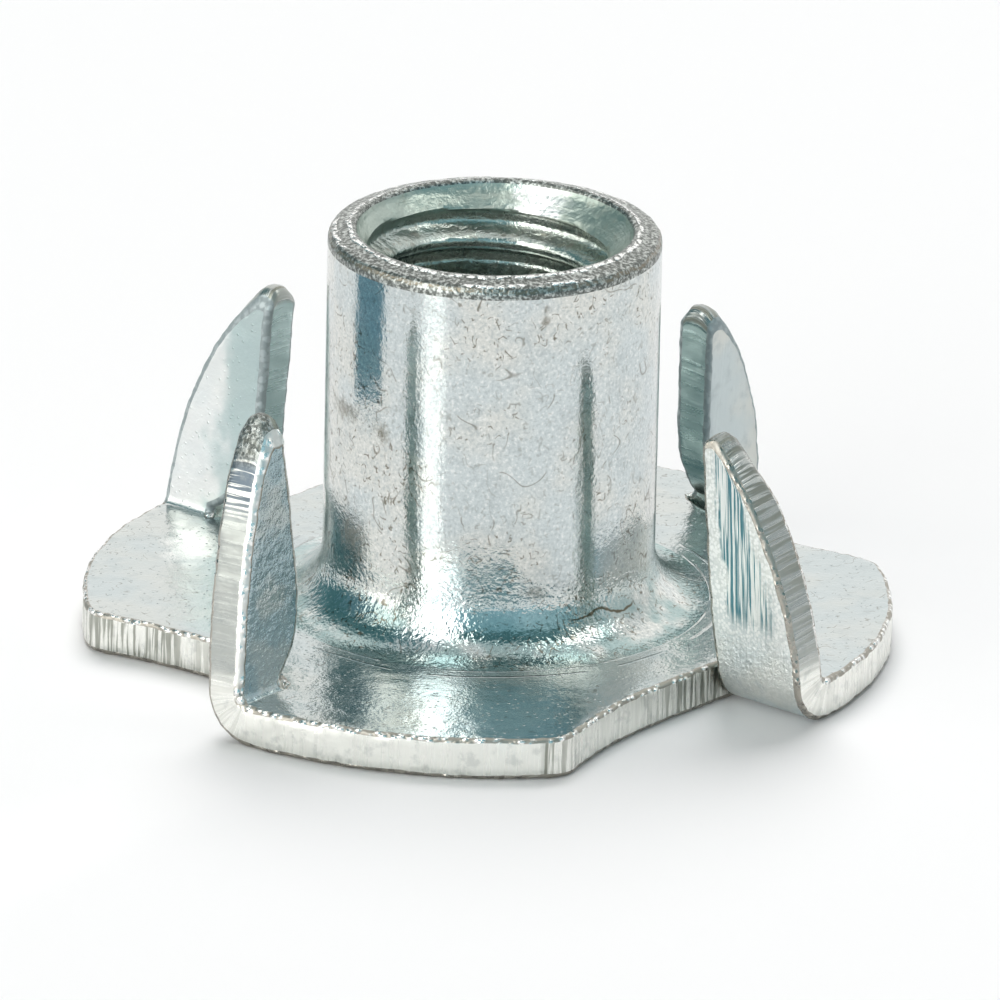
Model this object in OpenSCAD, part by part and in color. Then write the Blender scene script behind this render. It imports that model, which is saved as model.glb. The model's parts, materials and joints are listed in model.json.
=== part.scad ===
// Four-prong drive-in tee nut, pressed and drawn from one round blank of sheet steel.
// Millimetres. The origin is on the thread's axis at the underside of the flange,
// +Z runs up the barrel, and -Y is the side between the third and the fourth prong.

/* [Barrel] */
// Nominal diameter of the thread
thread_d = 6; // [5.5:0.1:6.4]
// Pitch of the thread
thread_pitch = 1; // [0.7:0.05:1.25]
// Outer diameter of the barrel
barrel_d = 7.8; // [7.5:0.1:9]
// Height of the barrel's rim above the underside of the flange
overall_h = 10; // [8:0.05:16]
// Diameter of the countersink at the rim
mouth_d = 6.5; // [6.3:0.1:6.9]
// Angle of the countersink, side to side
mouth_angle = 90; // [70:5:120]
// Radius on the outer edge of the rim
rim_round = 0.25; // [0.05:0.05:0.3]
// Radius of the fillet where the barrel meets the flange
foot_fillet = 1.3; // [0.4:0.1:1.6]
// Radius of the drawn-in entry under the bore
entry_round = 1.2; // [0.4:0.1:1.6]

/* [Flange] */
// Diameter of the round blank
flange_d = 19; // [18:0.25:22]
// Thickness of the sheet
sheet_t = 1; // [0.7:0.05:1.25]
// Nearest distance of each prong's cut from the axis, from the first prong round to the fourth
cut_reach = [7.4, 7.5, 6.8, 6.8]; // [6.5:0.1:7.6]
// Distance from the fold to the point where the cut comes nearest to the axis
cut_mid = 2.4; // [1.8:0.1:3]
// Radius of each cut between its nearest point and the fold
cut_root_r = [6.8, 10.5, 4.4, 29]; // [4.4:0.1:30]
// Radius of the cut between its nearest point and the rim
cut_rim_r = 12; // [8:0.5:30]
// Radius on the free corner of each lobe
lobe_round = 0.9; // [0.3:0.1:1.5]

/* [Prongs] */
// Direction of the first fold line, measured from +X
fold_turn = 51; // [0:1:90]
// Distance of each prong's inner face from the radius beside it, on its own lobe's side
fold_shift = [0.4, 0.6, 0.4, 0.8]; // [0:0.1:1]
// Inside radius of the fold
bend_r = 0.2; // [0.1:0.05:0.5]
// Angle by which each prong leans back from upright
prong_lean = 4; // [-4:1:8]
// Height of each prong's tip
prong_h = [6.3, 6.9, 7.5, 6.8]; // [5.5:0.1:9]
// How far the belly of each prong's inner edge bulges towards the axis from its root
belly_step = [0.9, 1.3, 0.8, 0.2]; // [0.2:0.1:1.5]
// Height of the belly
belly_h = 3.3; // [2.5:0.1:4]
// How much farther from the axis than the belly the middle of each tip is
tip_step = [0.1, 0.2, 0.6, 0.2]; // [0:0.1:0.8]
// Radius on the tip of each prong
tip_round = 0.3; // [0.2:0.05:0.4]
// Angle from upright at which each outer edge leaves the rim
edge_slant = 4; // [1:1:8]

/* [Hidden] */
$fn = 128;
prong_count = len(prong_h);
flange_r = flange_d / 2;
barrel_r = barrel_d / 2;
bore_r = (thread_d - thread_pitch) / 2;
mouth_r = mouth_d / 2;
mouth_depth = (mouth_r - bore_r) / tan(mouth_angle / 2);
// Height of the middle of each fold's arc.
bend_z = sheet_t + bend_r;
// Distance from each fold line to the point where its cut comes nearest to the axis.
cut_width = [for (shift = fold_shift) cut_mid + shift + bend_r];
// Distance from the axis to both ends of each fold, and to its prong's belly and tip.
root_reach = [for (i = [0 : prong_count - 1])
    cut_reach[i] + cut_root_r[i] - sqrt(cut_root_r[i] ^ 2 - cut_width[i] ^ 2)];
rim_reach = [for (shift = fold_shift) sqrt(flange_r ^ 2 - (shift + bend_r) ^ 2)];
belly_reach = root_reach - belly_step;
tip_reach = belly_reach + tip_step;
// Each fold is shorter by this at both ends than the flange's edge that it rises from.
fold_inset = 0.02;
// Height above the fold's middle at which a prong's edges start to curve.
blade_foot = 0.1;
// Angle above level to which a fold's own section runs on into its blade.
fold_over = 15;
// A round overruns the edges that it blends by this much, so that it crosses them.
lap = 0.002;
// Cutting shapes run past the solid by this much.
over = 1;

function unit(v) = v / norm(v);
function left_of(v) = [-v[1], v[0]];

// Where two circles cross, on the left of the line from a to b.
function crossing(a, ra, b, rb) =
    let (d = norm(b - a), u = unit(b - a))
    let (along = (d * d + ra * ra - rb * rb) / (2 * d))
    a + u * along + left_of(u) * sqrt(ra * ra - along * along);

// Direction of the line from a point that touches a circle on its left.
function touching(from, mid, r) =
    let (u = unit(mid - from), turn = asin(r / norm(mid - from)))
    u * cos(turn) + left_of(u) * sin(turn);

// The part of the plane between two directions.
module sector(from, dir_a, dir_b) {
    reach = 2 * flange_d;
    polygon([from, from + reach * dir_a, from + reach * (dir_a + dir_b), from + reach * dir_b]);
}

// Radius of the arc that starts at a point, square to the given direction, and runs
// through a second point or closes round a circle about it.
function arc_radius(from, to, inward, end_r = 0) =
    ((to - from) * (to - from) - end_r ^ 2) / (2 * ((to - from) * inward - end_r));

// What a round corner leaves over, between two outward directions.
module corner_waste(mid, r, dir_a, dir_b) {
    difference() {
        sector(mid, dir_a, dir_b);
        translate(mid) circle(r + lap);
    }
}

// What one prong takes out of the flat flange, with the free corner beside it.
// The fold runs along X, and the cut lies on its +Y side.
module flange_waste(i) {
    root_mid = [cut_reach[i] + cut_root_r[i], cut_mid];
    rim_mid = [cut_reach[i] + cut_rim_r, cut_mid];
    corner_mid = crossing([0, 0], flange_r - lobe_round, rim_mid, cut_rim_r + lobe_round);
    intersection() {
        translate(root_mid) circle(cut_root_r[i]);
        translate([0, cut_mid - cut_width[i]]) square([flange_d, cut_width[i]]);
    }
    intersection() {
        translate(rim_mid) circle(cut_rim_r);
        translate([0, cut_mid]) square(flange_d);
    }
    corner_waste(corner_mid, lobe_round, unit(corner_mid), unit(rim_mid - corner_mid));
}

module flange() {
    color("silver")
        linear_extrude(sheet_t)
            difference() {
                circle(flange_r);
                for (i = [0 : prong_count - 1]) {
                    rotate(fold_turn + i * 360 / prong_count) mirror([0, 1]) flange_waste(i);
                }
            }
}

// Section across a prong and its fold: X away from its own lobe, Y up, from the fold's middle.
module prong_section() {
    outer_r = bend_r + sheet_t;
    difference() {
        union() {
            intersection() {
                circle(outer_r);
                sector([0, 0], [0, -1], [cos(fold_over), sin(fold_over)]);
            }
            rotate(-prong_lean) square([outer_r - lap, flange_d]);
        }
        circle(bend_r);
        rotate(-prong_lean) translate([bend_r - lap - over, 0]) square([over, flange_d + over]);
    }
}

// Face of a prong: X along the fold line from the axis, Y up the sheet from the fold's middle.
module prong_face(i) {
    tip_up = (prong_h[i] - bend_z + bend_r * sin(prong_lean)) / cos(prong_lean);
    tip_mid = [tip_reach[i], tip_up - tip_round];
    belly = [belly_reach[i], belly_h - bend_z];
    root = [root_reach[i] + fold_inset, blade_foot];
    rim = [rim_reach[i] - fold_inset, blade_foot];
    inner_dir = touching(belly, tip_mid, tip_round);
    outward = -left_of(inner_dir);
    belly_r = arc_radius(belly, root, outward);
    edge_start = rim + [lap, 0];
    edge_inward = [-cos(edge_slant), -sin(edge_slant)];
    edge_r = arc_radius(edge_start, tip_mid, edge_inward, tip_round);
    edge_mid = edge_start + edge_r * edge_inward;
    difference() {
        intersection() {
            union() {
                sector(belly, outward, inner_dir);
                translate(belly + belly_r * outward) circle(belly_r + lap);
                translate([root[0], -flange_d]) square([flange_d, flange_d + 2 * blade_foot]);
            }
            union() {
                translate(edge_mid) circle(edge_r);
                translate([0, -flange_d]) square([flange_d, flange_d + blade_foot]);
            }
            translate([0, -flange_d]) square([rim[0], 2 * flange_d]);
        }
        corner_waste(tip_mid, tip_round, unit(tip_mid - edge_mid), -outward);
    }
}

// One prong with its fold line along +X. It stands on the -Y side of the fold's middle.
module prong(i) {
    color("gainsboro")
        translate([0, fold_shift[i] + bend_r, bend_z])
            intersection() {
                rotate([90, 0, 90]) linear_extrude(flange_r) mirror([1, 0]) prong_section();
                rotate([90 + prong_lean, 0, 0]) linear_extrude(flange_d, center = true) prong_face(i);
            }
}

// Half section of the barrel, from the axis outwards.
module barrel_section() {
    difference() {
        union() {
            square([barrel_r, overall_h]);
            square([barrel_r + foot_fillet, sheet_t + foot_fillet]);
        }
        translate([barrel_r + foot_fillet, sheet_t + foot_fillet]) circle(foot_fillet);
        corner_waste([barrel_r, overall_h] - rim_round * [1, 1], rim_round, [1, 0], [0, 1]);
    }
}

// Half section of the bore with its countersink and its drawn-in entry.
module bore_section() {
    translate([0, -over]) square([bore_r, overall_h + 2 * over]);
    polygon([
        [0, overall_h - mouth_depth],
        [bore_r, overall_h - mouth_depth],
        [mouth_r, overall_h],
        [mouth_r, overall_h + over],
        [0, overall_h + over],
    ]);
    difference() {
        translate([0, -over]) square([bore_r + entry_round, entry_round + over]);
        translate([bore_r + entry_round, entry_round]) circle(entry_round);
    }
}

module barrel() {
    color("lightgray") rotate_extrude() barrel_section();
}

module bore() {
    color("gray") rotate_extrude() bore_section();
}

module tee_nut() {
    difference() {
        union() {
            flange();
            for (i = [0 : prong_count - 1]) {
                rotate(fold_turn + i * 360 / prong_count) prong(i);
            }
            barrel();
        }
        bore();
    }
}

tee_nut();
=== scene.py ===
"""Looks of the tee nut: one pressed, zinc-plated piece on a plain pale floor.

The mesh follows the sheet itself. One outline runs round the flange and up and down
every prong, the sheet's thickness is swept along it, and the prongs are then folded up.
Lengths in the mesh code are millimetres, and they become metres when the mesh is made.
"""
import json
import math

import bmesh
import bpy
import numpy as np
from mathutils import Matrix, Vector, geometry, noise


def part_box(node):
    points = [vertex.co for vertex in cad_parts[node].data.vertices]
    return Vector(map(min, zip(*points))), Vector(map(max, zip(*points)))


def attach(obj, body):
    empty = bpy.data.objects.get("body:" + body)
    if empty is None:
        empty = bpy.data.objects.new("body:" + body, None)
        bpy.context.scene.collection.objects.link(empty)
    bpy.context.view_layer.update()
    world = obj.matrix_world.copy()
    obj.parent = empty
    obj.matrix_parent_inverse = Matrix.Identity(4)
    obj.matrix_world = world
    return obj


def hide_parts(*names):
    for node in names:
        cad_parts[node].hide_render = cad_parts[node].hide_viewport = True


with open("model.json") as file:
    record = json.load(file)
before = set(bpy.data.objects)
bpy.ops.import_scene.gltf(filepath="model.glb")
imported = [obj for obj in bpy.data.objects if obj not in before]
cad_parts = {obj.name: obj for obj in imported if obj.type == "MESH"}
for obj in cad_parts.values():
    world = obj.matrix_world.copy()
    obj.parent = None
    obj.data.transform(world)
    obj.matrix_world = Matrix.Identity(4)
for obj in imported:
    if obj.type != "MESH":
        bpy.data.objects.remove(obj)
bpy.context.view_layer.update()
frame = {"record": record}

MM = 0.001
MOUNTS = {mount["name"]: mount for mount in frame["record"]["mounts"]}
LOW, HIGH = (np.array(corner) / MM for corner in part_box("tee_nut"))

# Main sizes, from the frame.
FLANGE_R = (HIGH[0] - LOW[0]) / 2
OVERALL_H = HIGH[2]
BORE_R = MOUNTS["thread"]["dims"]["r_mm"]
BARREL_R = MOUNTS["barrel"]["dims"]["r_mm"]

# Barrel.
PITCH = 1.0
THREAD_R = BORE_R + PITCH / 2
# How much steeper than a plain zigzag the thread's flanks are, and how flat its crest is.
FLANK = 1.35
CREST = 0.12
MOUTH_R = 3.25
# How far below the nominal height the countersink starts, and the bore's first row.
MOUTH_DROP = 0.03
BORE_DROP = 0.1
FOOT_FILLET = 1.3
ENTRY_ROUND = 1.2

# Sheet, cuts and prongs, one entry for each prong as in the CAD model.
SHEET = 1.0
FOLD_TURN = 51.0
CUT_REACH = (7.4, 7.5, 6.8, 6.8)
CUT_ROOT_R = (6.8, 10.5, 4.4, 29.0)
CUT_RIM_R = 12.0
CUT_MID = 2.4
LOBE_ROUND = 0.9
FOLD_SHIFT = (0.4, 0.6, 0.4, 0.8)
BEND_R = 0.2
PRONG_LEAN = math.radians(4)
PRONG_H = (6.3, 6.9, 7.5, 6.8)
BELLY_STEP = (0.9, 1.3, 0.8, 0.2)
BELLY_H = 3.3
TIP_STEP = (0.1, 0.2, 0.6, 0.2)
TIP_ROUND = 0.3
EDGE_SLANT = math.radians(4)

# Worked out from the sizes above.
PRONGS = range(len(PRONG_H))
BEND_Z = SHEET + BEND_R
FOLD_Y = [shift + BEND_R for shift in FOLD_SHIFT]
FOLD_ANGLE = math.pi / 2 - PRONG_LEAN
FOLD_RUN = FOLD_ANGLE * (BEND_R + SHEET / 2)
ROOT_X = [CUT_REACH[i] + CUT_ROOT_R[i] - math.sqrt(CUT_ROOT_R[i] ** 2 - (CUT_MID + FOLD_Y[i]) ** 2)
          for i in PRONGS]
RIM_X = [math.sqrt(FLANGE_R ** 2 - y ** 2) for y in FOLD_Y]

# Edges: radius of the burred edge, which is wider along the prongs, and of the rolled one.
# Both run out within ROOT_FADE of each prong's root.
BURR_R = 0.10
PRONG_BURR = 1.7
ROLL_R = 0.12
ROOT_FADE = 0.35
# How far below each tip its wear starts, how much it takes off the outer and the inner face,
# and how steeply it grows from the middle of the sheet to its faces.
TIP_LENGTH = 1.8
TIP_DROP = ((0.35, 0.35), (0.35, 0.35), (0.6, 0.6), (0.1, 0.8))
TIP_POWER = 2.5
# Depth of the lumps on each kind of surface, and how many of each size go into a millimetre.
EDGE_ROUGH = 0.022
WALL_ROUGH = 0.008
FACE_ROUGH = 0.004
RIM_ROUGH = 0.012
FINE_LUMPS = 5.0
BROAD_LUMPS = 1.3
LUMP_SEED = 1
# The angle from which an edge stays sharp.
CREASE = math.radians(50)
# How hard the sheet was sheared along each stretch of rim and each prong's outer edge, where
# the cuts count as 1. INNER_SHEAR marks the prongs' inner edges.
RIM_SHEAR = (0.3, 1.0, 0.04, 0.35)
OUTER_SHEAR = (0.4, 0.4, 0.25, 0.5)
INNER_SHEAR = 2.0
# The crushed rim: a step where the cut-off scar ends, then a crown that rises to the lip.
# Each point is given from the barrel's outside and from its nominal height.
RIM_FOOT = 0.32
CROWN = ((0.0, -0.20), (-0.01, -0.16), (-0.04, -0.13), (-0.05, -0.10), (-0.07, -0.07),
         (-0.12, -0.03), (-0.20, -0.01), (-0.30, 0.01), (-0.40, 0.04), (-0.48, 0.07),
         (-0.55, 0.09), (-0.61, 0.08), (-0.655, 0.05), (-0.675, 0.0))

# Fineness of the mesh.
STEP = 0.09
COLUMNS = 192
FACE_STEP = 0.3
FACE_COLUMNS = 12
TIP_POINTS = 7
FOLD_POINTS = 13
EDGE_ROWS = 5
SHEET_ROWS = 6
FOOT_ROWS = 13
WALL_ROWS = 26
TURN_ROWS = 16
ENTRY_ROWS = 11

# Material slots of the mesh.
FACE, OUTER, CUT, EDGE, BARREL, RIM, BORE = range(7)

# Colours of the plating, of what is on it, and of the sheared and burred edges.
ZINC_COOL = (0.61, 0.665, 0.67)
ZINC_WARM = (0.69, 0.70, 0.665)
ZINC_DULL = (0.42, 0.47, 0.48)
# Painted reflection: the blue on the front prongs' inner faces.
BLUE_REFLECTION = (0.37, 0.48, 0.52)
ZINC_GREEN = (0.42, 0.49, 0.43)
# Painted reflection: the teal that clouds the left back prong and the barrel's foot.
TEAL_REFLECTION = (0.28, 0.42, 0.42)
RIM_DULL = (0.60, 0.625, 0.60)
# The white of the bright beads, also used for painted highlights on the faces and the countersink.
BEAD_AND_HIGHLIGHT = (0.94, 0.94, 0.92)
GREY = (0.13, 0.14, 0.13)
CREVICE = (0.25, 0.22, 0.17)
BROWN = (0.15, 0.13, 0.09)
# Painted reflection: the dark teal of the streaks in the front prongs' outer band.
TEAL_STREAK_REFLECTION = (0.07, 0.23, 0.28)
# Painted light: the flange's sheared walls are lighter to make up for the floor's shade that they
# reflect.
CUT_LIGHT = (0.90, 0.90, 0.85)
CUT_WORN = (0.47, 0.49, 0.47)
CUT_SHADE = (0.36, 0.39, 0.385)
CUT_DARK = (0.24, 0.25, 0.21)
CUT_INNER = (0.50, 0.63, 0.62)
CUT_BAR = (0.13, 0.17, 0.22)
# Radii of the rings that drawing has left round the barrel, and of the rim's two crushed edges.
DRAW_RINGS = (4.95, 5.35, 5.7)
RIM_BEADS = (3.40, 3.74)
# The long crack round the barrel's foot: its height, and the middle and half size of its reach.
CRACK_Z = 2.05
CRACK = ((2.75, -3.0, 1.6), (1.1, 1.1, 0.6))
# Middle and half size of the smears on the barrel, of the painted highlights on the left back prong
# and its lobe, and of the painted highlight on the countersink.
SMEARS = (((-3.4, -1.9, 6.2), (0.7, 0.9, 0.35)), ((-3.2, -2.2, 3.2), (0.6, 0.8, 0.9)),
          ((1.1, -3.7, 2.4), (0.4, 0.4, 0.25)), ((-2.5, -3.0, 6.0), (0.3, 0.3, 0.4)))
HIGHLIGHT_PATCHES = (((-6.8, 5.5, 2.1), (0.5, 0.5, 0.7)), ((-7.1, 2.6, 1.0), (0.6, 1.3, 5.0)))
MOUTH_HIGHLIGHT = ((1.1, 2.9, 9.6), (0.9, 0.9, 0.6))

# Colours of the room that the plating reflects.
WHITE = (1.0, 1.0, 1.0)
PALE = (0.75, 0.78, 0.78)
BACK = (1.15, 1.15, 1.13)
TEAL = (0.10, 0.22, 0.24)
MID = (0.33, 0.54, 0.61)
WINDOW = (3.8, 3.8, 3.7)
SKY = (2.2, 2.2, 2.1)
LAMP = (3.4, 3.4, 3.3)
OVERHEAD = (0.8, 0.82, 0.82)
# The room by degrees to the right of the camera: from the floor to 45 degrees up, then to 70.
BELT = ((-180, BACK), (-156, BACK), (-134, TEAL), (-106, TEAL), (-94, PALE), (-86, SKY),
        (-68, SKY), (-58, PALE), (-50, WINDOW), (-26, WINDOW), (-17, MID), (50, MID),
        (60, TEAL), (72, MID), (92, PALE), (120, PALE), (145, BACK), (180, BACK))
UPPER = ((-180, BACK), (-156, BACK), (-120, TEAL), (-68, TEAL), (-60, WINDOW), (-34, WINDOW),
         (-24, TEAL), (74, TEAL), (84, LAMP), (102, LAMP), (112, TEAL), (140, BACK), (180, BACK))
# The share of the room's light that the floor doesn't get.
ROOM_DIM = 0.6
# The floor, and what it adds to itself where the camera or a gloss sees it.
FLOOR = (0.86, 0.845, 0.845)
FLOOR_LIFT = 0.05
# Two cards beside the nut, which glow and show only in the metal: a dark one that stands at the
# left, and at the front left one that lies on the floor as a painted pool of light, brighter than
# white.
DARK_CARD = ((-12, -4.5, 3.3), (-12, 0.9, 3.3), (-12, 0.9, 7.6), (-12, -4.5, 7.6))
DARK_CARD_COLOUR = (0.13, 0.26, 0.32)
LIGHT_POOL_CARD = ((-7.6, -8.8, 0.1), (-5.6, -10.4, 0.1), (-16.2, -26, 0.1), (-22, -21.3, 0.1))
LIGHT_POOL_COLOUR = (1.45, 1.45, 1.4)


def unit(v):
    return v / np.linalg.norm(v)


def left_of(v):
    return np.array([-v[1], v[0]])


def arc(mid, r, start, end, count):
    """Points on a circle from one angle to another, both ends included."""
    a = np.linspace(start, end, count)
    return np.stack([mid[0] + r * np.cos(a), mid[1] + r * np.sin(a)], axis=1)


def steps(length, step=STEP):
    return max(2, int(round(length / step)) + 1)


def blurred(values, reach):
    """Means over reach neighbours on each side, round a closed loop."""
    width = 2 * reach + 1
    return np.convolve(np.pad(values, reach, mode="wrap"), np.ones(width) / width, "valid")


def arc_radius(start, end, inward, end_r=0.0):
    """Radius of the arc that leaves start square to inward and passes or closes round end."""
    d = end - start
    return (d @ d - end_r ** 2) / (2 * (d @ inward - end_r))


def turned(i, points):
    """Points given in prong i's own flat frame, whose X runs along its fold line."""
    a = math.radians(FOLD_TURN + 90 * i)
    x, y = points[:, 0], points[:, 1]
    return np.stack([x * math.cos(a) - y * math.sin(a), x * math.sin(a) + y * math.cos(a)], axis=1)


def folded(i, uvw):
    """Where prong i's points stand: u along the fold line, v up the sheet from the fold,
    w through the sheet from its outer face."""
    u, v, w = uvw[:, 0], uvw[:, 1], uvw[:, 2]
    rho = BEND_R + SHEET - w
    phi = np.clip(v / FOLD_RUN + 1, 0, 1) * FOLD_ANGLE
    up = np.maximum(v, 0)
    y = FOLD_Y[i] - rho * np.sin(phi) - up * math.cos(FOLD_ANGLE)
    z = BEND_Z - rho * np.cos(phi) + up * math.sin(FOLD_ANGLE)
    return np.column_stack([turned(i, np.column_stack([u, y])), z])


# ---------------------------------------------------------------- the sheet's outline

def cut_edge(i):
    """Prong i's cut in the flange, from the lobe's free corner to the prong's root."""
    rim_mid = np.array([CUT_REACH[i] + CUT_RIM_R, -CUT_MID])
    root_mid = np.array([CUT_REACH[i] + CUT_ROOT_R[i], -CUT_MID])
    # The corner's circle touches the rim from inside and the cut from outside.
    to_rim_mid = np.linalg.norm(rim_mid)
    near, far = FLANGE_R - LOBE_ROUND, CUT_RIM_R + LOBE_ROUND
    along = (to_rim_mid ** 2 + near ** 2 - far ** 2) / (2 * to_rim_mid)
    across = math.sqrt(near ** 2 - along ** 2)
    corner = unit(rim_mid) * along - left_of(unit(rim_mid)) * across
    start = math.atan2(corner[1], corner[0])
    to_cut = rim_mid - corner
    end = math.atan2(to_cut[1], to_cut[0])
    round_part = arc(corner, LOBE_ROUND, start, end, steps(LOBE_ROUND * (end - start)))
    cut_start = end - math.pi
    rim_part = arc(rim_mid, CUT_RIM_R, cut_start, -math.pi,
                   steps(CUT_RIM_R * (cut_start + math.pi)))
    root_turn = math.asin((CUT_MID + FOLD_Y[i]) / CUT_ROOT_R[i])
    root_part = arc(root_mid, CUT_ROOT_R[i], -math.pi, -math.pi - root_turn,
                    steps(CUT_ROOT_R[i] * root_turn))
    return np.concatenate([round_part, rim_part[1:], root_part[1:]]), start


def prong_sides(i):
    """Prong i's inner and outer edges in the sheet, from the fold up to the tip's top.
    Both have the same number of points."""
    tip_up = (PRONG_H[i] - BEND_Z + BEND_R * math.sin(PRONG_LEAN)) / math.cos(PRONG_LEAN)
    belly_x = ROOT_X[i] - BELLY_STEP[i]
    tip = np.array([belly_x + TIP_STEP[i], tip_up - TIP_ROUND])
    belly = np.array([belly_x, BELLY_H - BEND_Z])
    root, rim = np.array([ROOT_X[i], 0.0]), np.array([RIM_X[i], 0.0])
    # The inner edge: an arc up to the belly, then a line that touches the tip's circle.
    reach = np.linalg.norm(tip - belly)
    turn = math.asin(TIP_ROUND / reach)
    line = unit(tip - belly) * math.cos(turn) + left_of(unit(tip - belly)) * math.sin(turn)
    outward = -left_of(line)
    belly_r = arc_radius(belly, root, outward)
    belly_mid = belly + belly_r * outward
    line_end = tip - outward * TIP_ROUND
    v = np.linspace(0, line_end[1], steps(line_end[1]))
    on_line = belly[0] + (v - belly[1]) * line[0] / line[1]
    on_arc = belly_mid[0] - np.sqrt(np.maximum(belly_r ** 2 - (v - belly_mid[1]) ** 2, 0))
    inner = np.column_stack([np.where(v > belly[1], on_line, on_arc), v])
    # The outer edge: one arc that closes round the tip's circle.
    inward = np.array([-math.cos(EDGE_SLANT), -math.sin(EDGE_SLANT)])
    edge_r = arc_radius(rim, tip, inward, TIP_ROUND)
    edge_mid = rim + edge_r * inward
    edge_end = tip + unit(tip - edge_mid) * TIP_ROUND
    v = np.linspace(0, edge_end[1], len(v))
    outer = np.column_stack([edge_mid[0] + np.sqrt(edge_r ** 2 - (v - edge_mid[1]) ** 2), v])
    # The tip's round, from each side to its top.
    start = math.atan2(-outward[1], -outward[0]) % math.tau
    end = math.atan2(*(tip - edge_mid)[::-1])
    top = (start + end) / 2
    inner_tip = arc(tip, TIP_ROUND, start, top, TIP_POINTS)[1:]
    outer_tip = arc(tip, TIP_ROUND, end, top, TIP_POINTS)[1:]
    # The fold under both edges.
    v = np.linspace(-FOLD_RUN, 0, FOLD_POINTS)[:-1]
    inner_fold = np.column_stack([np.full(len(v), root[0]), v])
    outer_fold = np.column_stack([np.full(len(v), rim[0]), v])
    return (np.concatenate([inner_fold, inner, inner_tip]),
            np.concatenate([outer_fold, outer, outer_tip]))


class Outline:
    """The sheet's closed outline, anticlockwise seen from above. flat says which points lie
    in the flange; the others are given in their own prong's sheet."""

    def __init__(self):
        self.point, self.normal, self.prong, self.flat = [], [], [], []
        self.cuts, self.rims, self.sides = [], [], []
        cuts = [cut_edge(i) for i in PRONGS]
        for i in PRONGS:
            inner, outer = prong_sides(i)
            rim_start = math.asin(FOLD_Y[i] / FLANGE_R)
            rim_end = math.pi / 2 + cuts[(i + 1) % len(cuts)][1]
            rim = arc((0, 0), FLANGE_R, rim_start, rim_end, steps(FLANGE_R * (rim_end - rim_start)))
            self.cuts.append(self.add(i, cuts[i][0], True))
            up = self.add(i, inner, False)
            down = self.add(i, outer[::-1], False)
            self.rims.append(self.add(i, rim, True))
            self.sides.append((up + down[:1], self.rims[i][:1] + down[::-1]))
        self.point, self.normal = np.array(self.point), np.array(self.normal)
        self.prong, self.flat = np.array(self.prong), np.array(self.flat)
        middle = self.placed(self.point, SHEET / 2)
        roots = middle[[up[0] for up, down in self.sides]]
        to_root = np.linalg.norm(middle[:, None] - roots[None], axis=2).min(axis=1)
        near = np.clip(to_root / ROOT_FADE, 0, 1)
        # The edge's rounding runs out at each root, where the cut ends in a point.
        self.fade = near * near * (3 - 2 * near)
        self.run = np.concatenate([[0], np.cumsum(np.linalg.norm(np.diff(middle, axis=0), axis=1))])
        # The cuts and the prongs' edges are sheared harder than the blank's rim.
        self.shear = np.ones(len(self.point))
        for rim, shear in zip(self.rims, RIM_SHEAR):
            self.shear[rim] = shear
        for (up, down), shear in zip(self.sides, OUTER_SHEAR):
            self.shear[down[1:]] = shear
            self.shear[up[:-TIP_POINTS]] = INNER_SHEAR
        self.shear = blurred(self.shear, reach=1)
        # The burrs stand wider along the prongs, on the side of their inner faces.
        self.burr = blurred(np.where(self.flat, 1.0, PRONG_BURR), reach=8)
        # The tips are rounded through the sheet, towards their outer and their inner faces.
        self.tip_drop = np.zeros((2, len(self.point)))
        for (up, down), drop in zip(self.sides, TIP_DROP):
            ids = up + down[1:]
            below = self.point[up[-1], 1] - self.point[ids, 1]
            near = np.clip(1 - below / TIP_LENGTH, 0, 1) ** 2
            self.tip_drop[:, ids] = np.outer(drop, near)

    def add(self, i, points, flat):
        """Adds a run of points without its last one, which starts the next run."""
        tangent = np.gradient(points, axis=0)
        tangent /= np.linalg.norm(tangent, axis=1)[:, None]
        # A prong's sheet is seen from its other side, so its outward normals turn round.
        turn = 1 if flat else -1
        normal = turn * np.column_stack([tangent[:, 1], -tangent[:, 0]])
        first = len(self.point)
        self.point += list(points[:-1])
        self.normal += list(normal[:-1])
        self.prong += [i] * (len(points) - 1)
        self.flat += [flat] * (len(points) - 1)
        return list(range(first, len(self.point)))

    def moved(self, outwards, w):
        """The outline's points in the sheet at height w, moved outwards, less so near the roots."""
        burr = self.burr if w > SHEET / 2 else 1.0
        out = self.point + self.normal * (outwards * self.fade * burr)[:, None]
        side = int(w > SHEET / 2)
        out[:, 1] -= abs(2 * w / SHEET - 1) ** TIP_POWER * self.tip_drop[side]
        return out

    def face_at(self):
        out = np.zeros((len(self.point), 3))
        for i in PRONGS:
            here = ~self.flat & (self.prong == i)
            out[here] = face_place(i, self.point[here])
        return out

    def placed(self, points, w):
        """Where one point of the sheet for each of the outline's points stands at height w."""
        w = np.broadcast_to(w, len(points))
        out = np.zeros((len(points), 3))
        for i in PRONGS:
            here = self.flat & (self.prong == i)
            out[here] = np.column_stack([turned(i, points[here]), w[here]])
            here = ~self.flat & (self.prong == i)
            out[here] = folded(i, np.column_stack([points[here], w[here]]))
        return out


# ---------------------------------------------------------------- the mesh

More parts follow.
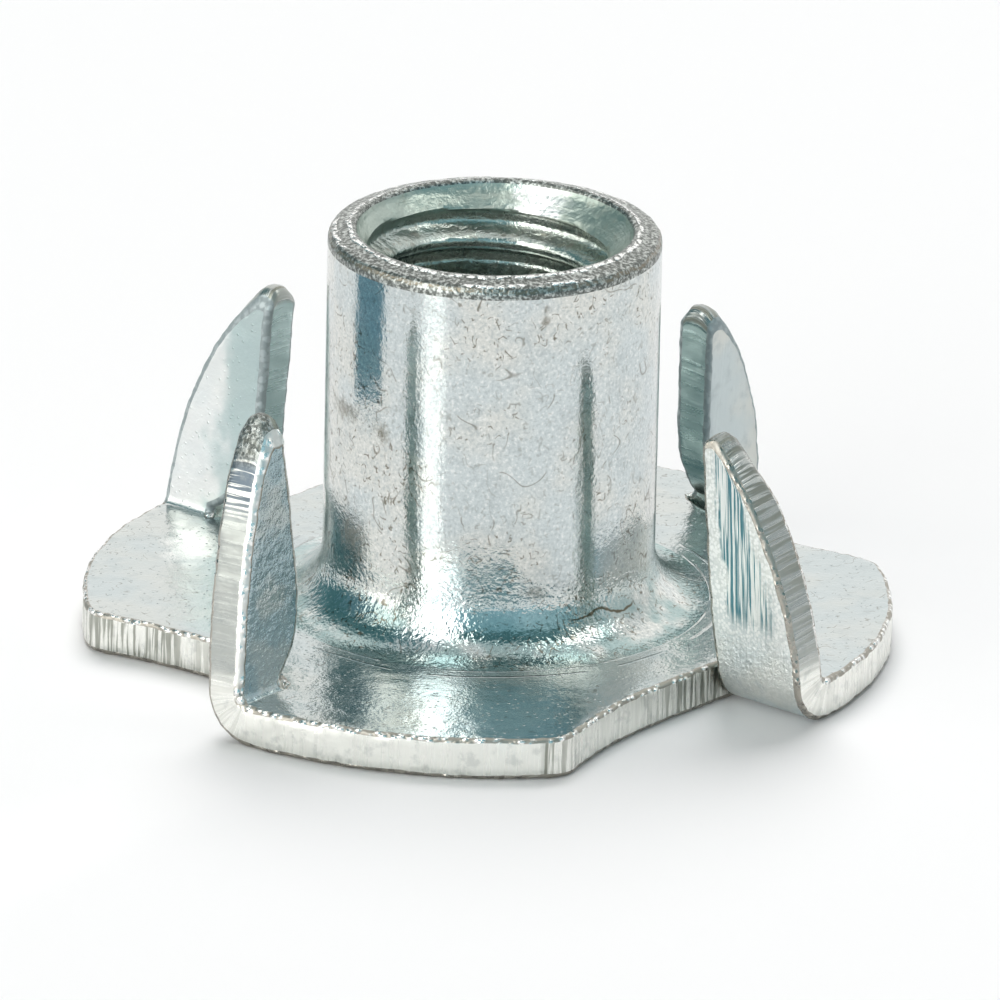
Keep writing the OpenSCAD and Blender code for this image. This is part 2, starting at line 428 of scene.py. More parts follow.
class Skin:
    """The vertices and faces of the mesh, with what its materials read."""

    def __init__(self):
        self.co, self.cut, self.face_at, self.rough = [], [], [], []
        self.faces, self.slots = [], []

    def add(self, co, cut=None, face_at=None, rough=0.0):
        """Adds vertices and returns their numbers. cut is where they lie along the outline,
        and face_at where they lie in their prong's flat face."""
        first = len(self.co)
        self.co += [tuple(p) for p in co]
        self.cut += [tuple(p) for p in (np.zeros((len(co), 3)) if cut is None else cut)]
        self.face_at += [tuple(p) for p in (np.zeros((len(co), 3)) if face_at is None else face_at)]
        self.rough += list(np.broadcast_to(rough, len(co)))
        return list(range(first, len(self.co)))

    def face(self, slot, *ids):
        self.faces.append(ids)
        self.slots.append(slot)

    def between(self, slot, a, b, closed=False):
        """Quads between two rows of the same length."""
        for k in range(len(a) if closed else len(a) - 1):
            m = (k + 1) % len(a)
            self.face(slot, a[k], a[m], b[m], b[k])


def edge_profile():
    """The sheet's cut edge from top to bottom: outward place and height of each row."""
    a = np.linspace(0, math.pi / 2, EDGE_ROWS)
    top = np.column_stack([BURR_R * (np.sin(a) - 1), SHEET + BURR_R * (np.cos(a) - 1)])
    bottom = np.column_stack([ROLL_R * (np.cos(a) - 1), ROLL_R * (1 - np.sin(a))])
    heights = np.linspace(top[-1, 1], bottom[0, 1], SHEET_ROWS)[1:-1]
    wall = np.column_stack([np.zeros(len(heights)), heights])
    return top, wall, bottom


def sweep_edge(skin, line):
    """Sweeps the edge's profile along the outline and returns the first and the last row."""
    top, wall, bottom = edge_profile()
    rows = []
    for part, rough in ((top, EDGE_ROUGH), (wall, WALL_ROUGH), (bottom, EDGE_ROUGH)):
        for out, w in part:
            # A round's rows close up on the sheet's sharp edge as the rounding runs out.
            sharp = SHEET if w > SHEET / 2 else 0.0
            burr = line.burr if part is top else 1.0
            heights = w if part is wall else sharp + (w - sharp) * line.fade * burr
            heights = np.broadcast_to(heights, len(line.point))
            cut = np.column_stack([line.run, heights, line.shear])
            rows.append(skin.add(line.placed(line.moved(out, w), heights), cut, line.face_at(),
                                 rough * line.fade))
    for k in range(len(rows) - 1):
        in_wall = len(top) - 1 <= k < len(top) + len(wall)
        skin.between(CUT if in_wall else EDGE, rows[k], rows[k + 1], closed=True)
    return rows[0], rows[-1]


def face_place(i, uv):
    """What the faces' materials read on prong i: its number with how much of it is prong,
    then u and v."""
    on = np.clip((uv[:, 1] + FOLD_RUN) / FOLD_RUN, 0, 1)
    return np.column_stack([(i + 1) * on, uv])


def prong_face(skin, line, edge, i, w, inset, slot):
    """Fills one face of a prong between its two edges and returns its row on the fold line."""
    uv = line.moved(-inset, w)
    up, down = line.sides[i]
    rows = []
    for k, (a, b) in enumerate(zip(up[:-1], down[:-1])):
        far = uv[b] if k else np.array([RIM_X[i] - inset, -FOLD_RUN])
        t = np.linspace(0, 1, FACE_COLUMNS + 1)[1:-1, None]
        points = uv[a] * (1 - t) + far * t
        uvw = np.column_stack([points, np.full(len(points), w)])
        inside = skin.add(folded(i, uvw), face_at=face_place(i, points), rough=FACE_ROUGH)
        rows.append([edge[a]] + inside + [edge[b]])
    for k in range(len(rows) - 1):
        skin.between(slot, rows[k], rows[k + 1])
    tip = edge[up[-1]]
    for k in range(FACE_COLUMNS):
        skin.face(slot, rows[-1][k], rows[-1][k + 1], tip)
    return rows[0]


def inside(points, loop):
    """Which points lie inside a closed loop."""
    a, b = loop, np.roll(loop, -1, axis=0)
    x, y = points[:, :1], points[:, 1:]
    spans = (a[:, 1] > y) != (b[:, 1] > y)
    slope = (b[:, 0] - a[:, 0]) / np.where(b[:, 1] == a[:, 1], 1, b[:, 1] - a[:, 1])
    return (spans & (x < a[:, 0] + slope * (y - a[:, 1]))).sum(axis=1) % 2 == 1


def flange_face(skin, line, edge, fold_rows, ring, ring_r, z):
    """Fills the flange between its outline and the ring where the barrel starts."""
    loop = []
    for i in PRONGS:
        loop += [edge[k] for k in line.cuts[i]] + fold_rows[i][:-1]
        loop += [edge[k] for k in line.rims[i]]
    co = np.array([skin.co[k][:2] for k in loop])
    grid = []
    row_step = FACE_STEP * math.sqrt(3) / 2
    for k, y in enumerate(np.arange(-FLANGE_R, FLANGE_R, row_step)):
        xs = np.arange(-FLANGE_R, FLANGE_R, FACE_STEP) + (k % 2) * FACE_STEP / 2
        grid.append(np.column_stack([xs, np.full(len(xs), y)]))
    grid = np.concatenate(grid)
    away = np.linalg.norm(grid[:, None] - co[None], axis=2).min(axis=1)
    keep = inside(grid, co) & (away > FACE_STEP / 2)
    keep &= np.linalg.norm(grid, axis=1) > ring_r + FACE_STEP / 2
    grid = grid[keep]
    new = skin.add(np.column_stack([grid, np.full(len(grid), z)]), rough=FACE_ROUGH)
    ids = loop + ring + new
    points = [Vector(skin.co[k][:2]) for k in ids]
    n, m = len(loop), len(ring)
    edges = [(k, (k + 1) % n) for k in range(n)] + [(n + k, n + (k + 1) % m) for k in range(m)]
    # Kind 1 keeps what lies inside the outer loop. The ring's own inside is left out below.
    places, _, triangles, sources = geometry.delaunay_2d_cdt(points, edges, [], 1, 1e-7)[:4]
    for triangle in triangles:
        middle = sum((places[k] for k in triangle), Vector((0, 0))) / 3
        if middle.length > ring_r * math.cos(math.pi / m):
            skin.face(FACE, *(ids[sources[k][0]] for k in triangle))


# ---------------------------------------------------------------- barrel and bore

def barrel_rows():
    """The barrel's section from the flange's top over the rim and down the bore to the underside,
    as (radius, height, roughness, slot). A radius may be a function of the turn."""
    rows = []
    foot_mid = np.array([BARREL_R + FOOT_FILLET, SHEET + FOOT_FILLET])
    for r, z in arc(foot_mid, FOOT_FILLET, -math.pi / 2, -math.pi, FOOT_ROWS):
        rows.append((r, z, FACE_ROUGH, BARREL))
    for z in np.linspace(foot_mid[1], OVERALL_H - RIM_FOOT, WALL_ROWS)[1:]:
        rows.append((BARREL_R, z, FACE_ROUGH, BARREL))
    for dr, dz in CROWN:
        rows.append((BARREL_R + dr, OVERALL_H + dz, RIM_ROUGH, RIM))
    for z in np.arange(OVERALL_H - BORE_DROP, ENTRY_ROUND, -PITCH / TURN_ROWS):
        rows.append((bore_radius, z, FACE_ROUGH, BORE))
    entry_mid = np.array([BORE_R + ENTRY_ROUND, ENTRY_ROUND])
    for r, z in arc(entry_mid, ENTRY_ROUND, math.pi, 1.5 * math.pi, ENTRY_ROWS):
        rows.append((r, z, FACE_ROUGH, BORE if r < BORE_R + 0.1 else FACE))
    return rows


def bore_radius(turn, z):
    """The threaded wall: a right-hand groove that runs out into the countersink and the entry."""
    phase = (z / PITCH - turn / (2 * math.pi)) % 1.0
    depth = np.clip(2 * np.abs(phase - 0.5) * FLANK - CREST, 0, 1)
    depth = depth * depth * (3 - 2 * depth)
    run_out = np.clip((z - ENTRY_ROUND) / PITCH, 0, 1)
    groove = BORE_R + (THREAD_R - BORE_R) * depth * run_out
    cone = MOUTH_R - (OVERALL_H - MOUTH_DROP - z)
    return np.maximum(groove, cone)


def lathe(skin):
    """Turns the barrel's section and returns its first and its last row."""
    turns = np.linspace(0, 2 * math.pi, COLUMNS, endpoint=False)
    rows, slots = [], []
    for r, z, rough, slot in barrel_rows():
        radius = r(turns, z) if callable(r) else np.full(COLUMNS, r)
        co = np.column_stack([radius * np.cos(turns), radius * np.sin(turns), np.full(COLUMNS, z)])
        rows.append(skin.add(co, rough=rough))
        slots.append(slot)
    for k in range(len(rows) - 1):
        skin.between(slots[k + 1], rows[k], rows[k + 1], closed=True)
    return rows[0], rows[-1]


def roughened(skin):
    """Moves every vertex by small lumps that depend only on where it is."""
    co = np.array(skin.co)
    rough = np.array(skin.rough)
    # Without a seed the noise starts from the clock, and each run gives other lumps.
    noise.seed_set(LUMP_SEED)
    for k in np.nonzero(rough)[0]:
        fine = noise.noise_vector(Vector(co[k] * FINE_LUMPS))
        # The shift takes the broad lumps from another part of the noise.
        broad = noise.noise_vector(Vector(co[k] * BROAD_LUMPS + 40.0))
        co[k] += rough[k] * (np.array(fine) + np.array(broad))
    # Nothing dips under the floor.
    co[:, 2] = np.abs(co[:, 2])
    return co


def make_tee_nut(materials):
    line = Outline()
    skin = Skin()
    top_edge, bottom_edge = sweep_edge(skin, line)
    first_ring, last_ring = lathe(skin)
    top_rows = [prong_face(skin, line, top_edge, i, SHEET, BURR_R, FACE) for i in PRONGS]
    bottom_rows = [prong_face(skin, line, bottom_edge, i, 0.0, ROLL_R, OUTER) for i in PRONGS]
    flange_face(skin, line, top_edge, top_rows, first_ring, BARREL_R + FOOT_FILLET, SHEET)
    flange_face(skin, line, bottom_edge, bottom_rows, last_ring, BORE_R + ENTRY_ROUND, 0.0)
    mesh = bpy.data.meshes.new("tee_nut_plated")
    mesh.from_pydata((roughened(skin) * MM).tolist(), [], skin.faces)
    for material in materials:
        mesh.materials.append(material)
    mesh.polygons.foreach_set("material_index", skin.slots)
    for name, values in (("cut", skin.cut), ("face_at", skin.face_at)):
        attribute = mesh.attributes.new(name, "FLOAT_VECTOR", "POINT")
        attribute.data.foreach_set("vector", np.array(values, dtype=np.float32).ravel())
    mesh.validate()
    nut = bpy.data.objects.new("tee_nut_plated", mesh)
    bpy.context.collection.objects.link(nut)
    tidy_normals(mesh)
    return nut


def tidy_normals(mesh):
    """Points the faces outwards and keeps only true creases sharp."""
    work = bmesh.new()
    work.from_mesh(mesh)
    bmesh.ops.recalc_face_normals(work, faces=work.faces)
    for face in work.faces:
        face.smooth = True
    open_edges = sum(not edge.is_manifold for edge in work.edges)
    print("tee_nut_plated:", len(work.verts), "vertices,", open_edges, "open edges,",
          sum(len(face.verts) - 2 for face in work.faces), "triangles")
    for edge in work.edges:
        edge.smooth = edge.calc_face_angle(0) < CREASE
    work.to_mesh(mesh)
    work.free()


# ---------------------------------------------------------------- materials

class Nodes:
    """Short helper for writing a material's nodes. Sockets and plain values go in alike."""

    def __init__(self, tree):
        self.tree = tree

    def put(self, socket, value):
        if isinstance(value, bpy.types.NodeSocket):
            self.tree.links.new(value, socket)
        else:
            socket.default_value = value

    def node(self, kind, inputs=(), **settings):
        made = self.tree.nodes.new("ShaderNode" + kind)
        for name, value in settings.items():
            setattr(made, name, value)
        for key, value in dict(inputs).items():
            self.put(made.inputs[key], value)
        return made

    def math(self, operation, a, b=0.0, clamp=False):
        return self.node("Math", {0: a, 1: b}, operation=operation, use_clamp=clamp).outputs[0]

    def plus(self, a, b, clamp=False):
        return self.math("ADD", a, b, clamp)

    def minus(self, a, b):
        return self.math("SUBTRACT", a, b)

    def times(self, a, b, clamp=False):
        return self.math("MULTIPLY", a, b, clamp)

    def larger(self, a, b):
        return self.math("MAXIMUM", a, b)

    def parts(self, vector):
        """The three numbers of a vector."""
        return self.node("SeparateXYZ", {0: vector}).outputs

    def span(self, value, low, high, to_low=0.0, to_high=1.0):
        """Maps low..high smoothly to to_low..to_high."""
        made = self.node("MapRange", {"Value": value, "From Min": low, "From Max": high,
                                      "To Min": to_low, "To Max": to_high},
                         interpolation_type="SMOOTHSTEP")
        return made.outputs["Result"]

    def beside(self, value, target, near, far, level=1.0):
        """level where value is within near of target, running out at far."""
        off = self.math("ABSOLUTE", self.minus(value, target))
        return self.span(off, near, far, level, 0.0)

    def mix(self, amount, a, b):
        made = self.node("Mix", {"Factor": amount}, data_type="RGBA")
        for name, value in (("A_Color", a), ("B_Color", b)):
            socket = next(x for x in made.inputs if x.identifier == name)
            self.put(socket, value if isinstance(value, bpy.types.NodeSocket) else (*value, 1))
        return next(x for x in made.outputs if x.identifier == "Result_Color")

    def mapped(self, vector, scale, shift=(0, 0, 0)):
        made = self.node("Mapping", {"Vector": vector, "Scale": scale, "Location": shift})
        return made.outputs["Vector"]

    def noise(self, vector, scale, detail=2.0, roughness=0.5, distortion=0.0):
        made = self.node("TexNoise", {"Vector": vector, "Scale": scale, "Detail": detail,
                                      "Roughness": roughness, "Distortion": distortion})
        return made.outputs["Fac"]

    def cells(self, vector, scale):
        """Distance to the middle of the nearest cell."""
        return self.node("TexVoronoi", {"Vector": vector, "Scale": scale}).outputs["Distance"]

    def away(self, vector, centre, size):
        """Distance from a point, as a share of size along each axis."""
        scaled = self.node("VectorMath", {0: vector, 1: centre}, operation="SUBTRACT").outputs[0]
        scaled = self.node("VectorMath", {0: scaled, 1: size}, operation="DIVIDE").outputs[0]
        return self.node("VectorMath", {0: scaled}, operation="LENGTH").outputs["Value"]

    def hairlines(self, vector, scale, width, shift=0.0):
        """Short bent lines: pieces of a noise's contour lines."""
        place = self.mapped(vector, (1, 1, 1), (shift, shift, shift))
        line = self.beside(self.noise(place, scale, 1.0), 0.5, 0.0, width)
        return self.times(line, self.span(self.noise(place, scale * 1.7, 2.0, 0.6), 0.52, 0.6))

    def bump(self, height, distance, strength=1.0, normal=None):
        made = self.node("Bump", {"Height": height, "Distance": distance, "Strength": strength})
        if normal is not None:
            self.put(made.inputs["Normal"], normal)
        return made.outputs["Normal"]


class Zinc(Nodes):
    """A zinc-plated surface. Its textures are laid out in millimetres."""

    def __init__(self, name):
        self.material = bpy.data.materials.new(name)
        self.material.use_nodes = True
        super().__init__(self.material.node_tree)
        self.bsdf = self.tree.nodes["Principled BSDF"]
        self.put(self.bsdf.inputs["Metallic"], 1.0)
        place = self.node("TexCoord").outputs["Object"]
        self.mm = self.mapped(place, (1 / MM,) * 3)
        self.cut = self.node("Attribute", attribute_name="cut").outputs["Vector"]
        self.face_at = self.node("Attribute", attribute_name="face_at").outputs["Vector"]

    def finish(self, colour, roughness, normal):
        self.put(self.bsdf.inputs["Base Color"], colour)
        self.put(self.bsdf.inputs["Roughness"], roughness)
        self.put(self.bsdf.inputs["Normal"], normal)
        return self.material

    def plate(self):
        """The plating's own colour: silver with faint blue and cream clouds."""
        cloud = self.noise(self.mm, 0.5, 3.0)
        colour = self.mix(self.span(cloud, 0.38, 0.62), ZINC_COOL, ZINC_WARM)
        dull = self.span(self.noise(self.mm, 2.2, 4.0, 0.6), 0.5, 0.72, 0.0, 0.4)
        return self.mix(dull, colour, ZINC_DULL)

    def radius(self):
        """Distance from the barrel's axis."""
        flat = self.mapped(self.mm, (1, 1, 0))
        return self.node("VectorMath", {0: flat}, operation="LENGTH").outputs["Value"]

    def pebbled(self, fine, broad, normal=None):
        """Orange peel in two sizes. Both depths are in millimetres."""
        small = self.noise(self.mm, 11.0, 2.0, 0.6)
        large = self.noise(self.mm, 1.6, 2.0)
        return self.bump(small, fine * MM, 1.0, self.bump(large, broad * MM, 1.0, normal))


def face_material():
    """The flange's faces and the prongs' inner ones, with the draw rings round the barrel."""
    z = Zinc("zinc_face")
    radius = z.plus(z.radius(), z.times(z.noise(z.mm, 0.35, 1.0), 0.25))
    rings = 0.0
    for ring in DRAW_RINGS:
        rings = z.larger(rings, z.beside(radius, ring, 0.0, 0.05))
    rings = z.times(rings, z.span(z.noise(z.mm, 0.7, 1.0), 0.42, 0.55))
    normal = z.pebbled(0.010, 0.03, z.bump(rings, 0.03 * MM, 1.0))
    sparkle = z.span(z.cells(z.mm, 6.0), 0.0, 0.22, 1.0, 0.0)
    normal = z.bump(sparkle, 0.02 * MM, 1.0, normal)
    flecks = z.hairlines(z.mm, 1.9, 0.018, 20.0)
    # The prongs' inner faces are bluer in front, a painted reflection, and brighter behind, a
    # painted highlight.
    prong, u = z.parts(z.face_at)[:2]
    x, y = z.parts(z.mm)[:2]
    on_prong = z.span(prong, 0.5, 1.0)
    behind = z.times(on_prong, z.span(y, 0, 2))
    plate = z.mix(z.times(behind, 0.65), z.mix(0.4, z.plate(), ZINC_DULL), BEAD_AND_HIGHLIGHT)
    blue = z.span(z.noise(z.mm, 0.9, 2.0), 0.42, 0.58, 0.85, 0.25)
    blue = z.times(blue, z.minus(on_prong, z.times(behind, 0.8)))
    plate = z.mix(blue, plate, BLUE_REFLECTION)
    # The left back prong is clouded with teal beside its inner edge: a painted reflection.
    cloud = z.plus(u, z.times(z.noise(z.mm, 1.3, 2.0), 1.8))
    cloud = z.times(z.span(cloud, 8.4, 9.2, 0.6, 0.0), z.span(x, -3.0, -5.0))
    plate = z.mix(z.times(cloud, behind), plate, TEAL_REFLECTION)
    # Painted highlights: bright patches on the left back prong and its lobe.
    for centre, size in HIGHLIGHT_PATCHES:
        near = z.plus(z.away(z.mm, centre, size), z.times(z.noise(z.mm, 2.5, 3.0), 1.4))
        plate = z.mix(z.span(near, 1.0, 2.0, 0.9, 0.0), plate, BEAD_AND_HIGHLIGHT)
    flecks = z.times(flecks, z.minus(0.5, z.times(on_prong, 0.5)))
    colour = z.mix(flecks, plate, BROWN)
    rough = z.span(z.noise(z.mm, 1.2, 3.0), 0.3, 0.7, 0.08, 0.20)
    rough = z.plus(rough, z.times(behind, 0.2))
    lumps = z.times(z.noise(z.mm, 4.0, 3.0, 0.6), z.minus(on_prong, behind))
    normal = z.bump(lumps, 0.04 * MM, 1.0, normal)
    return z.finish(colour, rough, normal)


def outer_material():
    """The prongs' outer faces, which the folding die has drawn into sharp streaks. On the front
    ones a band carries a painted highlight and painted reflections.
    """
    z = Zinc("zinc_drawn")
    prong, u, v = z.parts(z.face_at)
    streak = z.noise(z.mapped(z.face_at, (0.0, 15.0, 0.3)), 1.0, 2.0, 0.7)
    # The die bears hardest on a band beside each front prong's inner edge, wider near the fold. The
    # band's white is a painted highlight, and its streaks' dark teal a painted reflection.
    front = z.span(prong, 2.2, 2.8)
    low = z.span(v, 1.2, 4.5, 0.75, 0.0)
    wander = z.times(z.noise(z.mapped(z.mm, (1, 1, 0.5)), 1.6, 3.0, 0.7), 0.9)
    across = z.minus(z.plus(u, wander), 0.45)
    left = z.minus(across, z.times(low, 0.4))
    right = z.minus(across, low)
    band = z.times(z.span(left, 7.05, 7.2), z.span(right, 7.8, 8.1, 1.0, 0.0))
    band = z.times(z.times(band, z.span(v, 0.9, 1.5)), front)
    line = z.times(z.span(streak, 0.47, 0.53), band)
    cell = z.plus(z.cells(z.mm, 12.0), z.times(z.noise(z.mm, 6.0, 2.0), 0.5))
    speckle = z.times(z.span(cell, 0.6, 0.9, 1.0, 0.4), z.span(v, 0.3, 1.2, 0.3, 1.0))
    speckle = z.times(speckle, front)
    colour = z.mix(z.larger(speckle, band), z.plate(), BEAD_AND_HIGHLIGHT)
    colour = z.mix(z.times(line, 0.95), colour, TEAL_STREAK_REFLECTION)
    foot = z.times(z.noise(z.mm, 9.0, 3.0, 0.65), z.span(v, 0.2, 1.2, 1.0, 0.1))
    normal = z.bump(streak, 0.02 * MM, 1.0, z.bump(cell, 0.015 * MM, -1.0, z.pebbled(0.006, 0.03)))
    normal = z.bump(foot, 0.05 * MM, 1.0, normal)
    return z.finish(colour, z.span(band, 0.0, 1.0, 0.5, 0.35), normal)


def cut_material():
    """Sheared edges: close lines straight through the sheet, calmer round the blank's rim."""
    z = Zinc("zinc_sheared")
    run, height, shear = z.parts(z.cut)
    place = z.node("CombineXYZ", {0: run, 1: height}).outputs[0]
    lines = z.noise(z.mapped(place, (8.0, 0.35, 1.0)), 1.0, 2.0, 0.6)
    inner = z.span(shear, 1.2, 1.8)
    hard = z.times(shear, z.span(z.noise(z.mm, 0.5, 2.0), 0.4, 0.6, 0.5, 1.0))
    # The prongs' edges are calmer, but for the right front one and for bars near the front tips.
    x, y, level = z.parts(z.mm)
    high = z.times(z.span(level, 4.9, 5.8), z.span(y, -2.0, 0.0, 1.0, 0.0))
    calm = z.times(z.span(level, 1.2, 1.8), z.minus(0.6, high))
    right = z.times(z.span(level, 1.2, 2.5), z.span(x, 3.0, 5.0))
    calm = z.minus(calm, z.times(right, 0.5))
    hard = z.times(hard, z.minus(1.0, calm))
    hard = z.plus(hard, z.times(right, 0.45), clamp=True)
    hard = z.times(hard, z.minus(1.0, z.times(inner, 0.9)))
    dark = z.times(z.span(lines, 0.44, 0.54, 1.0, 0.0), hard, clamp=True)
    # Painted light: the flange's walls are much lighter than the prongs' edges, making up for the
    # floor's shade that they reflect.
    light = z.mix(z.span(level, 1.2, 1.8), CUT_LIGHT, CUT_WORN)
    bars = z.mix(z.span(lines, 0.46, 0.54), CUT_BAR, CUT_LIGHT)
    crush = z.noise(z.mm, 9.0, 3.0, 0.65)
    tip = z.times(z.span(level, 6.2, 6.7), high)
    light = z.mix(high, light, z.mix(tip, bars, z.mix(z.span(crush, 0.42, 0.6), GREY, CUT_WORN)))
    # A dark line marks where rim and cut meet. The front scallop's lines are fainter.
    corner = z.beside(shear, 0.7, 0.08, 0.2, 0.9)
    front = z.times(z.span(y, -5.0, -6.5), z.span(x, 1.5, 2.5))
    dark = z.times(dark, z.minus(0.8, z.times(front, 0.6)))
    # Random stains, and painted shade that darkens the right front prong's edge.
    stain_and_shade = z.span(z.noise(z.mm, 3.0, 3.0, 0.6), 0.52, 0.7, 0.0, 0.3)
    stain_and_shade = z.plus(stain_and_shade, z.times(right, 0.6))
    colour = z.mix(z.larger(dark, corner), z.mix(stain_and_shade, light, CUT_SHADE), CUT_DARK)
    colour = z.mix(z.times(inner, 0.9), colour, CUT_INNER)
    depth = z.times(lines, z.plus(hard, 0.1))
    normal = z.bump(z.times(crush, tip), 0.05 * MM, 1.0, z.pebbled(0.005, 0.02))
    normal = z.bump(depth, 0.05 * MM, 1.0, normal)
    return z.finish(colour, z.span(lines, 0.3, 0.7, 0.34, 0.24), normal)


def edge_material():
    """Burred edges: bright beads of plating above, dull and darker below."""
    z = Zinc("zinc_burr")
    height = z.parts(z.cut)["Y"]
    x, y, level = z.parts(z.mm)
    cell = z.cells(z.mm, 5.2)
    crush = z.noise(z.mm, 9.0, 3.0, 0.6)
    gap = z.span(z.plus(cell, z.times(crush, 0.6)), 0.64, 0.9)
    below = z.span(height, 0.3, 0.6, 1.0, 0.0)
    # On the front prongs the burr is a white seam, dirtier on the right one.
    seam = z.times(z.span(y, 0.0, -1.5), z.span(level, 1.2, 1.6))
    right = z.times(seam, z.span(x, 3.0, 5.0, 0.0, 0.8))
    darkening = z.times(gap, z.minus(0.8, z.times(seam, 0.5)))
    # Darker towards the underside.
    darkening = z.larger(darkening, z.times(below, 0.75))
    darkening = z.larger(darkening, z.times(z.span(crush, 0.46, 0.56, 1.0, 0.0), right))
    # A thin dirty line runs along the inside of the beads.
    line = z.times(z.span(height, 0.985, 0.998, 0.0, 0.5), z.plus(1.0, z.times(seam, 0.9)))
    colour = z.mix(z.larger(darkening, line), BEAD_AND_HIGHLIGHT, CREVICE)
    # The back prongs' burrs are ironed flat.
    flat = z.times(z.span(y, 1.5, 3.0), z.span(level, 1.0, 1.1))
    colour = z.mix(z.times(flat, 0.9), colour, ZINC_DULL)
    even = z.larger(flat, z.times(seam, 0.6))
    rise = z.times(z.span(cell, 0.0, 0.7, 1.0, 0.0), z.minus(1.0, even))
    normal = z.bump(rise, 0.05 * MM, 1.0, z.bump(crush, 0.015 * MM, 1.0))
    rough = z.plus(z.span(gap, 0.0, 1.0, 0.18, 0.42), z.times(flat, 0.35))
    return z.finish(colour, rough, normal)


def barrel_material():
    """The drawn barrel: grainy, with dark hairlines, thin veins, smears and one long crack."""
    z = Zinc("zinc_barrel")
    height = z.parts(z.mm)["Z"]
    draw = z.noise(z.mapped(z.mm, (3.0, 3.0, 0.2)), 1.0, 3.0, 0.6)
    crowd = z.span(z.noise(z.mm, 0.5, 1.0), 0.42, 0.58, 0.35, 1.0)
    hair = z.larger(z.hairlines(z.mapped(z.mm, (1.3, 1.3, 0.8)), 1.9, 0.026),
                    z.hairlines(z.mm, 3.4, 0.045, 9.0))
    hair = z.times(hair, crowd)
    # The long crack runs round the foot of the barrel.
    level = z.plus(height, z.times(z.noise(z.mm, 1.1, 3.0, 0.6), 0.8))
    crack = z.times(z.beside(level, CRACK_Z, 0.01, 0.05),
                    z.span(z.away(z.mm, *CRACK), 0.8, 1.0, 1.0, 0.0))
    smear = 0.0
    for centre, size in SMEARS:
        near = z.plus(z.away(z.mm, centre, size), z.times(z.noise(z.mm, 8.0, 3.0, 0.7), 2.4))
        smear = z.larger(smear, z.span(near, 1.2, 2.2, 0.6, 0.0))
    dark = z.larger(z.times(hair, 0.85), z.larger(crack, smear))
    veins = z.times(z.hairlines(z.mm, 0.75, 0.011, 4.0), 0.6)
    dark = z.larger(dark, veins)
    grain = z.noise(z.mm, 13.0, 3.0, 0.6)
    plate = z.mix(z.span(grain, 0.50, 0.66, 0.0, 0.55), z.plate(), ZINC_DULL)
    plate = z.mix(z.span(grain, 0.32, 0.46, 0.5, 0.0), plate, BEAD_AND_HIGHLIGHT)
    # The foot is clouded with teal: a painted reflection.
    cloud = z.span(z.noise(z.mm, 0.9, 3.0), 0.36, 0.56)
    cloud = z.times(z.span(height, 1.4, 2.6, 0.75, 0.0), cloud)
    colour = z.mix(dark, z.mix(cloud, plate, TEAL_REFLECTION), BROWN)
    foot = z.times(z.noise(z.mm, 9.0, 2.0), z.span(height, 2.2, 3.0, 1.0, 0.0))
    normal = z.bump(foot, 0.02 * MM, 1.0, z.pebbled(0.005, 0.008))
    normal = z.bump(draw, 0.004 * MM, 1.0, normal)
    normal = z.bump(z.larger(hair, crack), 0.02 * MM, -1.0, normal)
    rough = z.span(z.noise(z.mm, 1.5, 3.0), 0.3, 0.7, 0.08, 0.16)
    return z.finish(colour, z.plus(rough, z.times(smear, 0.3)), normal)


def rim_material():
    """The crushed rim: two edges beaded with bright lumps, and a dull slope between them."""
    z = Zinc("zinc_rim")
    radius = z.plus(z.radius(), z.times(z.noise(z.mm, 1.5), 0.2))
    level = z.parts(z.mm)["Z"]
    inner, outer = (z.beside(radius, bead + 0.1, 0.03, 0.08) for bead in RIM_BEADS)
    outer = z.times(outer, z.span(z.noise(z.mm, 0.45, 1.0), 0.44, 0.56))
    ridge = z.larger(inner, outer)
    crush = z.noise(z.mm, 11.0, 3.0, 0.65)
    cell = z.plus(z.cells(z.mm, 7.0), z.times(crush, 0.4))
    lumps = z.times(z.span(cell, 0.55, 0.95, 1.0, 0.0), ridge)
    dull = z.mix(z.span(crush, 0.43, 0.66), GREY, RIM_DULL)
    # A dark ragged line runs under the crown.
    under = z.plus(level, z.times(z.noise(z.mm, 2.5, 2.0), 0.16))
    under = z.times(z.beside(under, OVERALL_H - 0.04, 0.02, 0.06),
                    z.span(crush, 0.4, 0.55, 1.0, 0.3))
    dull = z.mix(under, dull, CREVICE)
    colour = z.mix(z.span(lumps, 0.15, 0.5), dull, BEAD_AND_HIGHLIGHT)
    normal = z.bump(crush, 0.025 * MM, 1.0, z.bump(lumps, 0.03 * MM, 1.0))
    return z.finish(colour, z.span(lumps, 0.0, 0.6, 0.30, 0.16), normal)


def bore_material():
    """The thread, scraped round by the tap."""
    z = Zinc("zinc_thread")
    scrape = z.noise(z.mapped(z.mm, (1.0, 1.0, 8.0)), 1.0, 3.0, 0.6)
    crush = z.noise(z.mm, 4.0, 3.0, 0.6)
    normal = z.bump(scrape, 0.02 * MM, 1.0, z.pebbled(0.015, 0.06))
    colour = z.mix(0.5, z.plate(), ZINC_GREEN)
    colour = z.mix(z.span(crush, 0.55, 0.7, 0.0, 0.5), colour, CREVICE)
    # The countersink is dull, but for one painted highlight at the back.
    level = z.parts(z.mm)["Z"]
    colour = z.mix(z.span(level, OVERALL_H - 0.8, OVERALL_H - 0.5, 0.0, 0.6), colour, ZINC_GREEN)
    patch = z.plus(z.away(z.mm, *MOUTH_HIGHLIGHT), z.times(crush, 1.2))
    colour = z.mix(z.span(patch, 1.0, 1.6, 1.0, 0.0), colour, BEAD_AND_HIGHLIGHT)
    worn = z.span(level, OVERALL_H - 0.8, OVERALL_H - 0.5, 0.0, 0.14)
    return z.finish(colour, z.plus(z.span(crush, 0.3, 0.7, 0.16, 0.3), worn), normal)


